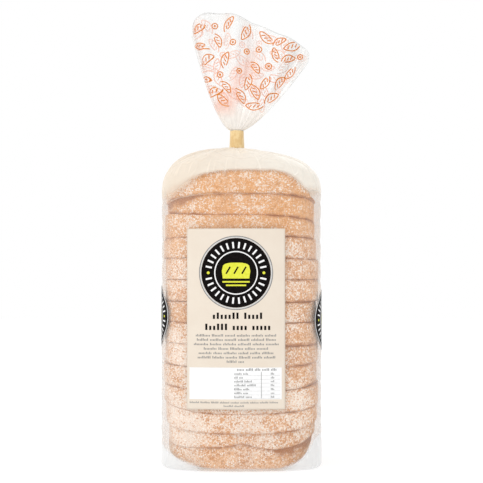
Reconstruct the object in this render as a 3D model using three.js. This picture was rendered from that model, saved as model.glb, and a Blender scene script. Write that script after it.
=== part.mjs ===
// A sliced tin loaf in a clear film bag, standing on its heel.
// Millimetres, +Z up. The origin is the middle of the bag's flat bottom, and the labelled front faces -Y.
// The bag is one piece of film: round the loaf, gathered into the neck, and fanned out above the tape.

import * as THREE from 'three';

// Bag round the loaf
const BAG_WIDTH = 104.6;
const FRONT_DEPTH = 48; // from the middle of the base to the crown of the crust
const BACK_DEPTH = 48.9; // to the loaf's flat underside
const CROWN_RISE = 9; // how far the crust domes out between its two front edges
const CORNER_POWER = 6.5; // the higher, the squarer the section's corners
const TIN_TAPER = 0.07; // the loaf's underside is narrower than its crust
const TAPER_FROM = -30;
const FOOT_RADIUS = 4;
const SECTION_STEPS = 56; // points round the bag

// Slices, from the bottom heel to the top one
const SLICE_COUNT = 14;
const BOTTOM_HEEL = 14.6;
const THIN_SLICE = 9.3;
const TOP_HEEL_FROM = 176.2;
const SLICE_RELIEF = 0.7; // how far one slice sits back from the next
const SEAM_DEPTH = 1.5;
const SEAM_HALF_WIDTH = 1.3;
const LEVEL_HEIGHT = 115; // the height at which the slices lie level
const SAG_REACH = 74;
const SAG = 5.8; // how far the ends of a seam turn towards the middle of the loaf

// Gathered shoulder, neck and tape
const SHOULDER_FROM = 183;
const NECK_BOTTOM = 208.6;
const NECK_TOP = 221.6;
const NECK_X = -3.1;
const NECK_RADIUS = 4.1;
const SHOULDER_RINGS = 8;
const SHOULDER_DROP = 0.46; // how much lower than round the slope from the neck to the loaf's edge runs
const PLEATS = 14;
const PLEAT_DEPTH = 1.3;
const TAPE_GAP = 0.35;
const TAPE_THICKNESS = 0.45;
const TAPE_FROM = 209.4;
const TAPE_HEIGHT = 11.8;
const TAPE_OVERLAP_TURN = 0.14; // the part of a turn where the tape's end lies on itself
const TAPE_TURNED = (-52 * Math.PI) / 180; // turns that end to the front right

// Fanned mouth of the bag
const FAN_RINGS = 10;
const FAN_HALF_THICKNESS = 1.1;
const FAN_WAVE = 4.8;
const FAN_FOOT_HALF_WIDTH = 4.4;
const FAN_BOW = [0.61, 0.75]; // how the fan's left and right sides bow out: a lower power bows more
const MOUTH_OUTLINE = [
  [-33.4, 284.9], [-31.9, 295.4], [-24.5, 301.2], [-12, 301.2], [2.5, 296.8],
  [19.6, 289.4], [37.8, 281.2], [45, 275.2], [44.6, 266.6],
]; // X and Z of the mouth's edge, from its left end to its right

// Stickers
const SKIN_GAP = 0.35;
const LABEL_THICKNESS = 0.35;
const LABEL = { middle: -3.45, width: 62.3, from: 39.3, height: 114.2, columns: 12, rows: 6 };
const BADGE_RADIUS = 21.5;
const BADGE_DEPTH = -16.5; // how far forward of the bag's middle a side badge is centred
const LEFT_BADGE_HEIGHT = 97.8;
const RIGHT_BADGE_HEIGHT = 95.2;
const BADGE_RINGS = 4;
const BADGE_STEPS = 24;

const clamp = THREE.MathUtils.clamp;
const lerp = THREE.MathUtils.lerp;
const smooth = (x, low = 0, high = 1) => THREE.MathUtils.smoothstep(x, low, high);

// A repeatable number from 0 to 1 for each whole number.
const scatter = (n) => {
  const wave = Math.sin(n * 78.233 + 11.7) * 43758.5453;
  return wave - Math.floor(wave);
};

// The heights of the seams between slices, with the bottom of the first slice and the start of the shoulder at the ends.
function seamHeights() {
  const heights = [0, BOTTOM_HEEL, BOTTOM_HEEL + THIN_SLICE];
  const even = (TOP_HEEL_FROM - heights[2]) / (SLICE_COUNT - 3);
  while (heights.length < SLICE_COUNT) heights.push(heights[2] + even * (heights.length - 2));
  return heights;
}

// A direction round the section: turn 0 is the left side, a quarter is the front and a half is the right side.
// It walks round a square, so that the points are as close on the flat faces as near the corners.
function squareDirection(turn) {
  const side = (((turn + 0.125) % 1) + 1) % 1 * 4;
  const face = Math.floor(side);
  const along = (side - face) * 2 - 1;
  const eased = (along + Math.sin((along * Math.PI) / 2)) / 2;
  return [[-1, -eased], [eased, -1], [1, eased], [-eased, 1]][face];
}

// The bag's outline at that direction, set in by inset: a squared oval, domed at the front and narrower at the back.
function sectionPoint(turn, inset = 0) {
  const [dx, dy] = squareDirection(turn);
  const reach = (Math.abs(dx) ** CORNER_POWER + Math.abs(dy) ** CORNER_POWER) ** (-1 / CORNER_POWER);
  const halfWidth = BAG_WIDTH / 2 - inset;
  const x = dx * reach;
  const flat = dy * reach;
  const front = flat * (FRONT_DEPTH - CROWN_RISE - inset) - CROWN_RISE * (1 - x * x) * smooth(-flat);
  const y = flat < 0 ? front : flat * (BACK_DEPTH - inset);
  const narrowing = 1 - TIN_TAPER * smooth(y, TAPER_FROM, BACK_DEPTH);
  return new THREE.Vector3(x * halfWidth * narrowing, y, 0);
}

// How far a seam's ends turn up or down from its middle: nothing at the crown, all of it from the edges back.
function seamTurn(height, x, y) {
  const level = clamp((height - LEVEL_HEIGHT) / SAG_REACH, -1, 1);
  const outward = Math.max((Math.abs(x) / (BAG_WIDTH / 2)) ** 4, smooth(y, -46, -22));
  return -SAG * Math.sign(level) * Math.abs(level) ** 1.4 * outward;
}

// One closed ring of points round the bag.
const ring = (pointAt) => Array.from({ length: SECTION_STEPS }, (_, i) => pointAt(i / SECTION_STEPS));

// The foot: a flat bottom with a rounded edge.
function footRings() {
  return [0, 0.35, 0.7].map((share) => {
    const angle = (share * Math.PI) / 2;
    return ring((turn) => {
      const point = sectionPoint(turn, FOOT_RADIUS * (1 - Math.sin(angle)));
      return point.setZ(FOOT_RADIUS * (1 - Math.cos(angle)));
    });
  });
}

// The slices: the film lies on each one and dips into the seam above it.
function sliceRings() {
  const heights = seamHeights();
  const rings = [];
  heights.forEach((from, i) => {
    const to = i + 1 < heights.length ? heights[i + 1] : SHOULDER_FROM + SEAM_HALF_WIDTH;
    const relief = SLICE_RELIEF * scatter(i);
    const levels = [[to - SEAM_HALF_WIDTH, relief]];
    const low = i === 0 ? FOOT_RADIUS : from + SEAM_HALF_WIDTH;
    if (levels[0][0] - low > 1) levels.unshift([low, relief]);
    if (i + 1 < heights.length) levels.push([to, SEAM_DEPTH]);
    for (const [height, inset] of levels) {
      rings.push(ring((turn) => {
        const point = sectionPoint(turn, inset);
        return point.setZ(height + seamTurn(height, point.x, point.y));
      }));
    }
  });
  return rings;
}

// A point of the neck, which is a round bundle of folds.
const neckPoint = (turn) => new THREE.Vector3(
  NECK_X - NECK_RADIUS * Math.cos(turn * 2 * Math.PI),
  -NECK_RADIUS * Math.sin(turn * 2 * Math.PI),
  0,
);

// The shoulder: the film draws in over the top heel to the neck, in pleats.
function shoulderRings() {
  const rings = [];
  for (let k = 1; k <= SHOULDER_RINGS; k += 1) {
    const angle = (k / (SHOULDER_RINGS + 1)) * (Math.PI / 2);
    const inward = 1 - Math.cos(angle) ** 0.85;
    const lift = Math.sin(angle) ** 0.85 - SHOULDER_DROP * inward * (1 - inward);
    const pleat = PLEAT_DEPTH * Math.sin(2 * angle) * smooth(inward, 0.02, 0.3);
    rings.push(ring((turn) => {
      const edge = sectionPoint(turn, 0);
      const start = SHOULDER_FROM + seamTurn(SHOULDER_FROM, edge.x, edge.y);
      const point = edge.lerp(neckPoint(turn), inward);
      return point.setZ(lerp(start, NECK_BOTTOM, lift) + pleat * Math.sin(turn * 2 * Math.PI * PLEATS));
    }));
  }
  return rings;
}

const neckRings = () => [NECK_BOTTOM, NECK_TOP].map((height) => ring((turn) => neckPoint(turn).setZ(height)));

// The wave of the fanned film, across at u from -1 to 1, growing from the neck at s 0 to the mouth at s 1.
function fanWave(u, s) {
  return FAN_WAVE * s ** 1.3 * (0.6 * Math.sin(3.2 * Math.PI * u + 0.6) + 0.4 * Math.sin(5.1 * Math.PI * u + 1.9));
}

// The fan: from the round neck to a flat, wavy mouth, front and back a little apart.
function fanRings() {
  const mouth = new THREE.SplineCurve(MOUTH_OUTLINE.map(([x, z]) => new THREE.Vector2(x, z)));
  const rings = [];
  for (let k = 1; k <= FAN_RINGS; k += 1) {
    const s = (k / FAN_RINGS) ** 1.25;
    rings.push(ring((turn) => {
      const front = turn <= 0.5;
      const u = front ? turn * 4 - 1 : 3 - turn * 4;
      const edge = mouth.getPointAt((u + 1) / 2);
      const foot = neckPoint(turn);
      const spread = smooth(s, 0, 0.12);
      const footX = lerp(foot.x, NECK_X + u * FAN_FOOT_HALF_WIDTH, spread);
      const thickness = lerp(NECK_RADIUS, FAN_HALF_THICKNESS, smooth(s, 0, 0.45)) * Math.sqrt(1 - u * u);
      return new THREE.Vector3(
        lerp(footX, edge.x, s ** lerp(FAN_BOW[0], FAN_BOW[1], (u + 1) / 2)),
        (front ? -thickness : thickness) + fanWave(u, s),
        lerp(NECK_TOP, edge.y, s),
      );
    }));
  }
  return rings;
}

// Joins rings of equal length into one closed skin, with a flat bottom and the last ring zipped front to back.
function loftedBag(rings) {
  const count = SECTION_STEPS;
  const positions = rings.flat().flatMap((point) => [point.x, point.y, point.z]);
  const index = [];
  const quad = (a, b, c, d) => index.push(a, b, c, a, c, d);
  for (let k = 0; k + 1 < rings.length; k += 1) {
    for (let i = 0; i < count; i += 1) {
      const next = (i + 1) % count;
      quad(k * count + i, k * count + next, (k + 1) * count + next, (k + 1) * count + i);
    }
  }
  const middle = positions.length / 3;
  positions.push(0, 0, 0);
  for (let i = 0; i < count; i += 1) index.push(middle, (i + 1) % count, i);
  const last = (rings.length - 1) * count;
  for (let i = 0; i < count / 2; i += 1) {
    const back = (count - i) % count;
    if (i === 0) index.push(last, last + 1, last + count - 1);
    else if (i + 1 === count / 2) index.push(last + i, last + i + 1, last + back);
    else quad(last + i, last + i + 1, last + back - 1, last + back);
  }
  const geometry = new THREE.BufferGeometry();
  geometry.setAttribute('position', new THREE.Float32BufferAttribute(positions, 3));
  geometry.setIndex(index);
  return geometry;
}

// The bag's upright outline, by the length along it, for what is stuck on it.
const outline = new THREE.CatmullRomCurve3(
  Array.from({ length: 240 }, (_, i) => sectionPoint(i / 240)),
  true,
);
outline.arcLengthDivisions = 2400;
const outlineLength = outline.getLength();

// The length along the outline at which a coordinate is closest to a value, searched over part of a turn.
function lengthWhere(axis, value, from, to) {
  let best = from;
  for (let t = from; t <= to; t += 0.0002) {
    if (Math.abs(outline.getPointAt(t)[axis] - value) < Math.abs(outline.getPointAt(best)[axis] - value)) best = t;
  }
  return best * outlineLength;
}

// A point lifted off the bag, at a length along the outline and a height.
function onBag(length, height, lift) {
  const t = (((length / outlineLength) % 1) + 1) % 1;
  const point = outline.getPointAt(t);
  const along = outline.getTangentAt(t);
  return new THREE.Vector3(point.x + along.y * lift, point.y - along.x * lift, height);
}

// A closed plate from a grid of places on the bag: an inner face, an outer face and the edge between them.
function plate(places, triangles, rim) {
  const faces = [SKIN_GAP, SKIN_GAP + LABEL_THICKNESS].map((lift) => places.map(([l, z]) => onBag(l, z, lift)));
  const positions = faces.flat().flatMap((point) => [point.x, point.y, point.z]);
  const outer = places.length;
  const index = [];
  for (const [a, b, c] of triangles) index.push(a, c, b, a + outer, b + outer, c + outer);
  rim.forEach((a, i) => {
    const b = rim[(i + 1) % rim.length];
    index.push(a, b, b + outer, a, b + outer, a + outer);
  });
  const geometry = new THREE.BufferGeometry();
  geometry.setAttribute('position', new THREE.Float32BufferAttribute(positions, 3));
  geometry.setIndex(index);
  return geometry;
}

function labelGeometry() {
  const start = lengthWhere('x', LABEL.middle, 0.2, 0.3) - LABEL.width / 2;
  const places = [];
  const triangles = [];
  const across = LABEL.columns + 1;
  for (let r = 0; r <= LABEL.rows; r += 1) {
    for (let c = 0; c <= LABEL.columns; c += 1) {
      places.push([start + (c / LABEL.columns) * LABEL.width, LABEL.from + (r / LABEL.rows) * LABEL.height]);
      if (r === 0 || c === 0) continue;
      const corner = r * across + c;
      triangles.push([corner - across - 1, corner - across, corner], [corner - across - 1, corner, corner - 1]);
    }
  }
  const bottom = Array.from({ length: LABEL.columns }, (_, c) => c);
  const right = Array.from({ length: LABEL.rows }, (_, r) => r * across + LABEL.columns);
  const top = bottom.map((c) => LABEL.rows * across + LABEL.columns - c);
  const left = Array.from({ length: LABEL.rows }, (_, r) => (LABEL.rows - r) * across);
  return plate(places, triangles, [...bottom, ...right, ...top, ...left]);
}

function badgeGeometry(middle, height) {
  const places = [[middle, height]];
  const triangles = [];
  for (let r = 1; r <= BADGE_RINGS; r += 1) {
    for (let i = 0; i < BADGE_STEPS; i += 1) {
      const angle = (i / BADGE_STEPS) * 2 * Math.PI;
      const reach = (r / BADGE_RINGS) * BADGE_RADIUS;
      places.push([middle + reach * Math.cos(angle), height + reach * Math.sin(angle)]);
      const here = 1 + (r - 1) * BADGE_STEPS + i;
      const next = 1 + (r - 1) * BADGE_STEPS + ((i + 1) % BADGE_STEPS);
      if (r === 1) triangles.push([0, here, next]);
      else triangles.push([here - BADGE_STEPS, here, next], [here - BADGE_STEPS, next, next - BADGE_STEPS]);
    }
  }
  const rim = Array.from({ length: BADGE_STEPS }, (_, i) => 1 + (BADGE_RINGS - 1) * BADGE_STEPS + i);
  return plate(places, triangles, rim);
}

// The tape: one turn round the neck, with its end lying on the start.
function tapeGeometry() {
  const inner = NECK_RADIUS + TAPE_GAP;
  const outer = inner + TAPE_THICKNESS;
  const overlap = TAPE_OVERLAP_TURN * 2 * Math.PI;
  const band = new THREE.Shape();
  band.absarc(0, 0, outer, overlap, 2 * Math.PI, false);
  band.absarc(0, 0, outer + TAPE_THICKNESS, 0, overlap, false);
  band.closePath();
  band.holes.push(new THREE.Path().absarc(0, 0, inner, 0, 2 * Math.PI, true));
  return new THREE.ExtrudeGeometry(band, { depth: TAPE_HEIGHT, bevelEnabled: false, curveSegments: 24 });
}

const film = new THREE.MeshStandardMaterial({ color: 0xe3b68c, roughness: 0.35, metalness: 0 });
const tape = new THREE.MeshStandardMaterial({ color: 0xe6c88e, roughness: 0.5, metalness: 0 });
const paper = new THREE.MeshStandardMaterial({ color: 0xf4e8d8, roughness: 0.8, metalness: 0 });
const print = new THREE.MeshStandardMaterial({ color: 0x1d1b1a, roughness: 0.6, metalness: 0 });

const loaf = new THREE.Group();

function add(name, geometry, material) {
  const mesh = new THREE.Mesh(geometry, material);
  mesh.name = name;
  loaf.add(mesh);
  return mesh;
}

const rings = [...footRings(), ...sliceRings(), ...shoulderRings(), ...neckRings(), ...fanRings()];
add('bread_bag', loftedBag(rings), film);
const neckTape = add('neck_tape', tapeGeometry(), tape);
neckTape.position.set(NECK_X, 0, TAPE_FROM);
neckTape.rotation.z = TAPE_TURNED;
add('front_label', labelGeometry(), paper);
add('left_badge', badgeGeometry(lengthWhere('y', BADGE_DEPTH, 0, 0.12), LEFT_BADGE_HEIGHT), print);
add('right_badge', badgeGeometry(lengthWhere('y', BADGE_DEPTH, 0.38, 0.5), RIGHT_BADGE_HEIGHT), print);

export default loaf;
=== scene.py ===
"""A sliced tin loaf in a clear film bag: its finish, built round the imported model.

Metres, +Z up, and the labelled front faces -Y. The script follows the bag as it is packed: the slices, the
film round them, the tape at the neck, the fanned mouth and its print, the label, and the side badges.
"""

import bpy
import numpy as np
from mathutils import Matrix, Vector


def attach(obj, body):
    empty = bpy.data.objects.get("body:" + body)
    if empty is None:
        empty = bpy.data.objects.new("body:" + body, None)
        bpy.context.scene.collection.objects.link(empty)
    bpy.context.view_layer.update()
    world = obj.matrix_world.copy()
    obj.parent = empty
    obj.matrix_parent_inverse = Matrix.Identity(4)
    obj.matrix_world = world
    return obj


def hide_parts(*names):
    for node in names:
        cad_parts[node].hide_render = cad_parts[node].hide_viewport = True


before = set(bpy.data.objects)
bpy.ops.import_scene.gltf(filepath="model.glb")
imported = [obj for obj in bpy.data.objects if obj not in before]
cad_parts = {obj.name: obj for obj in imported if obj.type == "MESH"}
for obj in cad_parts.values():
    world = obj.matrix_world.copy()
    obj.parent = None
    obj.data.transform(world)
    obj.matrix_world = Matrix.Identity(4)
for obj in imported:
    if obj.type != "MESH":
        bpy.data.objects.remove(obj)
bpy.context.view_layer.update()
mm = 0.001

# Camera
# A long lens in front of the label, lower than the bag's middle and turned up to take in the mouth.
# Its view is the front of the bag, upright and in the middle.
CAMERA_DISTANCE = 850 * mm
EYE_HEIGHT = 115 * mm
AIM_HEIGHT = 147 * mm

camera_data = bpy.data.cameras.new("camera")
camera_data.sensor_width = 36
camera_data.lens = 94.6
camera = bpy.data.objects.new("camera", camera_data)
camera.location = (0, -CAMERA_DISTANCE, EYE_HEIGHT)
camera.rotation_euler = (Vector((0, 0, AIM_HEIGHT)) - camera.location).to_track_quat("-Z", "Y").to_euler()
bpy.context.collection.objects.link(camera)
bpy.context.scene.camera = camera
bpy.context.scene.view_settings.view_transform = "Standard"
bpy.context.scene.cycles.transparent_max_bounces = 64


# Studio
# A white room that is a little darker on the right, two soft lamps for the gloss on the film, and a wide
# pale floor that glows a little, as a light table does, so that shadows on it stay faint.
def put(tree, kind, inputs=None, **settings):
    """Adds a node to a tree. Each input takes a number, a colour or another node's output."""
    node = tree.nodes.new(kind)
    for name, value in settings.items():
        setattr(node, name, value)
    for name, value in (inputs or {}).items():
        if isinstance(value, bpy.types.NodeSocket):
            tree.links.new(value, node.inputs[name])
        else:
            node.inputs[name].default_value = value
    return node


def new_material(name):
    """A node material with nothing in it but its output. Returns the material, its tree and that output."""
    material = bpy.data.materials.new(name)
    material.use_nodes = True
    material.node_tree.nodes.clear()
    return material, material.node_tree, material.node_tree.nodes.new("ShaderNodeOutputMaterial")


def grid_faces(rows, columns, closed=False):
    """Quads of a grid of points stored row by row, joined round its columns where it is closed."""
    across = np.arange(columns if closed else columns - 1)
    here = np.arange(rows - 1)[:, None] * columns + across
    beside = here - across + (across + 1) % columns
    return np.stack([here, beside, beside + columns, here + columns], -1).reshape(-1, 4).tolist()


def new_mesh(name, points, faces, material):
    """An object at the origin with these points, whatever the shape of their array, and these faces."""
    mesh = bpy.data.meshes.new(name)
    mesh.from_pydata(points.reshape(-1, 3).tolist(), [], faces)
    mesh.materials.append(material)
    mesh.shade_smooth()
    piece = bpy.data.objects.new(name, mesh)
    bpy.context.collection.objects.link(piece)
    return piece


FLOOR_REACH = 4.0
FLOOR_DROP = 0.2 * mm

world = bpy.data.worlds.new("white_room")
bpy.context.scene.world = world
world.use_nodes = True
world.node_tree.nodes["Background"].inputs["Color"].default_value = (1, 1, 1, 1)
tree = world.node_tree
sky = put(tree, "ShaderNodeSeparateXYZ", {"Vector": put(tree, "ShaderNodeTexCoord").outputs["Generated"]})
shade = put(tree, "ShaderNodeMapRange", {
    "Value": sky.outputs["X"], "From Min": 0.28, "From Max": 0.95, "To Min": 1.0, "To Max": 0.87,
}, interpolation_type="SMOOTHSTEP")
tree.links.new(shade.outputs["Result"], tree.nodes["Background"].inputs["Strength"])

floor_paint, tree, output = new_material("floor_paint")
shader = put(tree, "ShaderNodeBsdfPrincipled", {
    "Base Color": (0.40, 0.40, 0.40, 1), "Roughness": 0.8, "Specular IOR Level": 0.0,
    "Emission Color": (1, 1, 1, 1), "Emission Strength": 0.66,
})
tree.links.new(shader.outputs[0], output.inputs["Surface"])
corners = np.array([[x, y, 0] for y in (-1, 1) for x in (-1, 1)]) * FLOOR_REACH
floor = new_mesh("floor", corners - (0, 0, FLOOR_DROP), grid_faces(2, 2), floor_paint)


def soft_lamp(name, place, aim, width, watts):
    """A square lamp of that width at a place, turned towards the point that it lights."""
    light = bpy.data.lights.new(name, "AREA")
    light.size = width
    light.energy = watts
    lamp = bpy.data.objects.new(name, light)
    lamp.location = place
    lamp.rotation_euler = (Vector(aim) - Vector(place)).to_track_quat("-Z", "Y").to_euler()
    bpy.context.collection.objects.link(lamp)


soft_lamp("key_lamp", (-0.75, -1.0, 1.05), (0, 0, 0.12), 0.26, 4.0)
soft_lamp("back_lamp", (0.5, 1.1, 0.9), (0, 0, 0.14), 0.4, 1.6)


# Slices
# Fourteen slices of a white tin loaf, loose but still in the loaf's shape. Each is soft white crumb in a
# thin baked crust that was dusted with flour. They lie in a pile on the bottom heel, and their side edges
# turn towards the middle of the pile.
SLICES = 14
BOTTOM_HEEL = 14.6 * mm
THIN_SLICE = 9.3 * mm
TOP_HEEL_FROM = 176.2 * mm
LOAF_TOP = 193.6 * mm
LOAF_BOTTOM = 0.35 * mm
BAG_HALF_WIDTH = 52.3 * mm
FRONT_DEPTH = 48 * mm
BACK_DEPTH = 48.9 * mm
CROWN_RISE = 9 * mm
CORNER_POWER = 6.5
TIN_TAPER = 0.07
TAPER_FROM = -30 * mm
BREAD_SIDE_GAP = 2.2 * mm
BREAD_FACE_GAP = 1.0 * mm
CUT_GAP = 0.08 * mm
CUT_EDGE = 0.5 * mm
LOW_HEEL_EDGE = 2.6 * mm
HIGH_HEEL_EDGE = 3.6 * mm
CRUST_THICKNESS = 1.8 * mm
BAKED_AND_SHADED_EDGE = 1.25 * mm
SLICE_STEPS = 208
SET_BACK = {0: 1.0 * mm, 12: 1.4 * mm}
TURNED = {0: 0.022, 12: -0.03}
END_SIZES = {0: 0.935, 1: 0.955, 2: 0.985, 11: 0.98, 12: 0.965, 13: 0.975}


def smooth(value, low=0.0, high=1.0):
    """0 below low, 1 above high, and an even S between them."""
    share = np.clip((value - low) / (high - low), 0, 1)
    return share * share * (3 - 2 * share)


def lumps(points, size, seed):
    """Smooth noise from -1 to 1: random heights on a lattice of that size, eased between its corners."""
    cell = points / size
    corner = np.floor(cell).astype(int)
    along = smooth(cell - corner)
    total = np.zeros(points.shape[:-1])
    for step in np.ndindex(*[2] * points.shape[-1]):
        spread = (corner + step) @ np.array([127.1, 311.7, 74.7])[: points.shape[-1]]
        scattered = np.sin(spread + seed * 19.19) * 43758.5453
        total += np.prod(np.where(step, along, 1 - along), axis=-1) * (2 * (scattered % 1) - 1)
    return total


def bag_outline(turn, side_gap=0.0, face_gap=0.0):
    """The bag's level outline, set in by the gaps at its sides and at its front and back, as X and Y arrays.

    Turn 0 is the left side, a quarter is the front and a half is the right. It is the squared oval
    |x|^p + |y|^p = 1, domed at the front by 1 - x^2 and drawn in towards the back, as the tin tapers.
    """
    side = (turn + 0.125) % 1 * 4
    face = np.floor(side).astype(int)
    along = (side - face) * 2 - 1
    eased = (along + np.sin(along * np.pi / 2)) / 2
    ones = np.ones_like(eased)
    dx = np.choose(face, [-ones, eased, ones, -eased])
    dy = np.choose(face, [-eased, -ones, eased, ones])
    reach = (np.abs(dx) ** CORNER_POWER + np.abs(dy) ** CORNER_POWER) ** (-1 / CORNER_POWER)
    x = dx * reach
    flat = dy * reach
    front = flat * (FRONT_DEPTH - CROWN_RISE - face_gap) - CROWN_RISE * (1 - x * x) * smooth(-flat)
    y = np.where(flat < 0, front, flat * (BACK_DEPTH - face_gap))
    narrowing = 1 - TIN_TAPER * smooth(y, TAPER_FROM, BACK_DEPTH)
    return x * (BAG_HALF_WIDTH - side_gap) * narrowing, y


SAG = 6.0 * mm
SAG_MIDDLE = 115 * mm
SAG_REACH = 74 * mm
even_slice = (TOP_HEEL_FROM - BOTTOM_HEEL - THIN_SLICE) / (SLICES - 3)
seam_heights = np.append(BOTTOM_HEEL, BOTTOM_HEEL + THIN_SLICE + even_slice * np.arange(SLICES - 2))
seam_heights[2] -= 1.5 * mm
seam_heights[3] -= 1.0 * mm
chance = np.random.default_rng(14)
# Each cut ends a little high or low at its left and its right, and those near the heels run more aslant.
seam_ends = chance.uniform(-0.9, 0.9, (SLICES - 1, 2)) * mm
seam_ends[0] = -4.0 * mm, 3.4 * mm
seam_ends[1, 1] += 2.0 * mm
seam_ends[2, 0] += 2.9 * mm
seam_ends[-2] = 3.6 * mm, -1.8 * mm
seam_ends[-1, 0] -= 2.4 * mm
seam_ends[6:, 0] += 0.8 * mm


def sag(height, x, y):
    """How far a level line is moved at the loaf's sides and back: up at its foot and down at its top.

    It is SAG, by the 1.4th power of the line's share of the way from SAG_MIDDLE, and by how far out it is.
    """
    level = np.clip((height - SAG_MIDDLE) / SAG_REACH, -1, 1)
    outward = np.maximum((np.abs(x) / BAG_HALF_WIDTH) ** 4, smooth(y, -46 * mm, -22 * mm))
    return -SAG * np.sign(level) * np.abs(level) ** 1.4 * outward


def seam(index, x, y):
    """The height of the cut above a slice: its seam height, the sag, its ends, and a slow and a fine wave.

    The lowest cut has a bump in its middle and a dip to the right of it in place of the slow wave.
    """
    height = seam_heights[index]
    end = np.where(x < 0, seam_ends[index, 0], seam_ends[index, 1]) * (np.abs(x) / BAG_HALF_WIDTH) ** 3
    place = np.stack([x, y, np.full_like(x, height)], -1)
    wave = lumps(place, 27 * mm, 3 + index) * 0.5 * mm
    torn = lumps(place, 5 * mm, 23 + index) * 0.26 * mm
    if index == 0:
        wave = 2.2 * mm * np.exp(-(x / (9 * mm)) ** 2) - 1.6 * mm * np.exp(-((x - 24 * mm) / (14 * mm)) ** 2)
    return height + sag(height, x, y) + end + wave + torn


def loaf_top(x, y):
    """The top heel's end: a dome that falls slowly to its left, steeply to its right and little in depth."""
    aside = np.abs(x) / BAG_HALF_WIDTH
    fallen = np.where(x < 0, 15 * mm * aside ** 2.3, 36 * mm * aside ** 4.9)
    dome = LOAF_TOP - fallen - 3 * mm * np.abs(y / FRONT_DEPTH) ** 4
    return np.maximum(dome, seam(SLICES - 2, x, y) + 1.6 * mm)


def loaf_bottom(x, y):
    """The bottom heel's end: flat in the middle, its left edge rounded and its right edge cut up steeply."""
    aside = np.abs(x) / BAG_HALF_WIDTH
    rounded = np.where(x < 0, 15 * mm * aside ** 3.8, 36 * mm * aside ** 6)
    lifted = LOAF_BOTTOM + rounded + 2 * mm * np.abs(y / FRONT_DEPTH) ** 6
    return np.minimum(lifted, seam(0, x, y) - 2.2 * mm)


def slice_mesh(index, shift, turned, size):
    """A slice's points and faces, with how far each point is crumb and how near it is to a cut.

    Rings run from the middle of the lower cut, round its edge, up the crust, and back to the middle of the
    upper cut. A ring has its reach, a share of the way out; its share of the way up from one cut to the
    other; and its lift from there, which rounds the edges. How near it is falls off by
    BAKED_AND_SHADED_EDGE, and more slowly where a slice that stands out above casts its shade. Nearness
    darkens the crust: partly the baked crust at the edges of a cut, and partly painted shade in the seam,
    with a wider and darker painted shadow under a slice that stands out above.
    """
    half_width = BAG_HALF_WIDTH - BREAD_SIDE_GAP
    corner = np.linspace(0, np.pi / 2, 6)
    cut_reach = np.array([0.3, 0.6, 0.85, 0.95, 1]) * (1 - CRUST_THICKNESS / half_width)
    low_edge = LOW_HEEL_EDGE if index == 0 else CUT_EDGE
    high_edge = HIGH_HEEL_EDGE if index == SLICES - 1 else CUT_EDGE
    low_reach, high_reach = (
        np.append(
            cut_reach * (1 if edge == CUT_EDGE else 1 - edge / half_width),
            1 - edge / half_width * (1 - np.sin(corner)),
        )
        for edge in (low_edge, high_edge)
    )
    low_lift, high_lift = (
        np.append(0 * cut_reach, edge * (1 - np.cos(corner))) for edge in (low_edge, high_edge)
    )
    side = np.linspace(0, 1, 13)[1:-1]
    reach = np.concatenate([low_reach, 0 * side + 1, high_reach[::-1]])[:, None]
    share = np.concatenate([0 * low_reach, side, 0 * high_reach + 1])[:, None]
    lift = np.concatenate([low_lift, low_edge * (1 - side) - high_edge * side, -high_lift[::-1]])[:, None]

    turn = np.arange(SLICE_STEPS) / SLICE_STEPS
    outline_x, outline_y = bag_outline(turn, BREAD_SIDE_GAP, BREAD_FACE_GAP)
    x = reach * outline_x * size
    y = reach * outline_y * size
    middle = (seam_heights[max(index - 1, 0)] + seam_heights[min(index, SLICES - 2)]) / 2
    place = np.stack([x, y, 0 * x + middle + (share - 0.5) * even_slice], -1)
    crust = smooth(reach, 1 - CRUST_THICKNESS / half_width, 1)
    swell = 0.32 * mm * lumps(place, 9 * mm, 1) + 0.16 * mm * lumps(place, 2.6 * mm, 2)
    x = x * (1 + crust * swell / half_width)
    y = y * (1 + crust * swell / half_width)

    low = loaf_bottom(x, y) if index == 0 else seam(index - 1, x, y) + CUT_GAP / 2
    high = loaf_top(x, y) if index == SLICES - 1 else seam(index, x, y) - CUT_GAP / 2
    room = np.minimum(1, 0.47 * (high - low) / max(low_edge, high_edge))
    rough = 0.14 * mm * lumps(np.stack([x, y, 0 * x + middle], -1), 2.2 * mm, 5 + index)
    z = low + (high - low) * share + room * lift + rough * (1 - crust)

    to_low = np.inf if index == 0 else z - low
    to_high = np.inf if index == SLICES - 1 else high - z
    # Painted shadow under a slice that stands out above: on the bottom heel's right and on the left of the
    # slice under the top heel, at the front only.
    shaded = 0 * x
    if index == 0:
        shaded = smooth(x, 8 * mm, 32 * mm)
    if index == SLICES - 2:
        shaded = smooth(-x, 14 * mm, 38 * mm)
    shaded = shaded * smooth(-y, 5 * mm, 30 * mm)
    near = np.minimum(to_low, to_high / (1 + 1.6 * shaded)) / BAKED_AND_SHADED_EDGE
    nearness = crust * np.exp(-near) * (1 + 2.6 * shaded)
    crumb = (1 - smooth(reach, 0.962, 0.966)) + 0 * x
    if index == 0:
        crumb[: len(low_reach)] = 0
    if index == SLICES - 1:
        crumb[-len(high_reach):] = 0

    cos, sin = np.cos(turned), np.sin(turned)
    points = np.stack([x * cos - y * sin + shift[0], x * sin + y * cos + shift[1], z], -1)
    rows = len(reach)
    faces = grid_faces(rows, SLICE_STEPS, closed=True)
    ring = np.arange(SLICE_STEPS)
    beside = (ring + 1) % SLICE_STEPS
    pole = rows * SLICE_STEPS
    last = pole - SLICE_STEPS
    faces += np.stack([0 * ring + pole, beside, ring], -1).tolist()
    faces += np.stack([0 * ring + pole + 1, last + ring, last + beside], -1).tolist()
    points = np.concatenate([points.reshape(-1, 3), points[[0, -1]].mean(1)])
    return points, faces, np.append(crumb, crumb[[0, -1], 0]), np.append(nearness, [0, 0])


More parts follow.
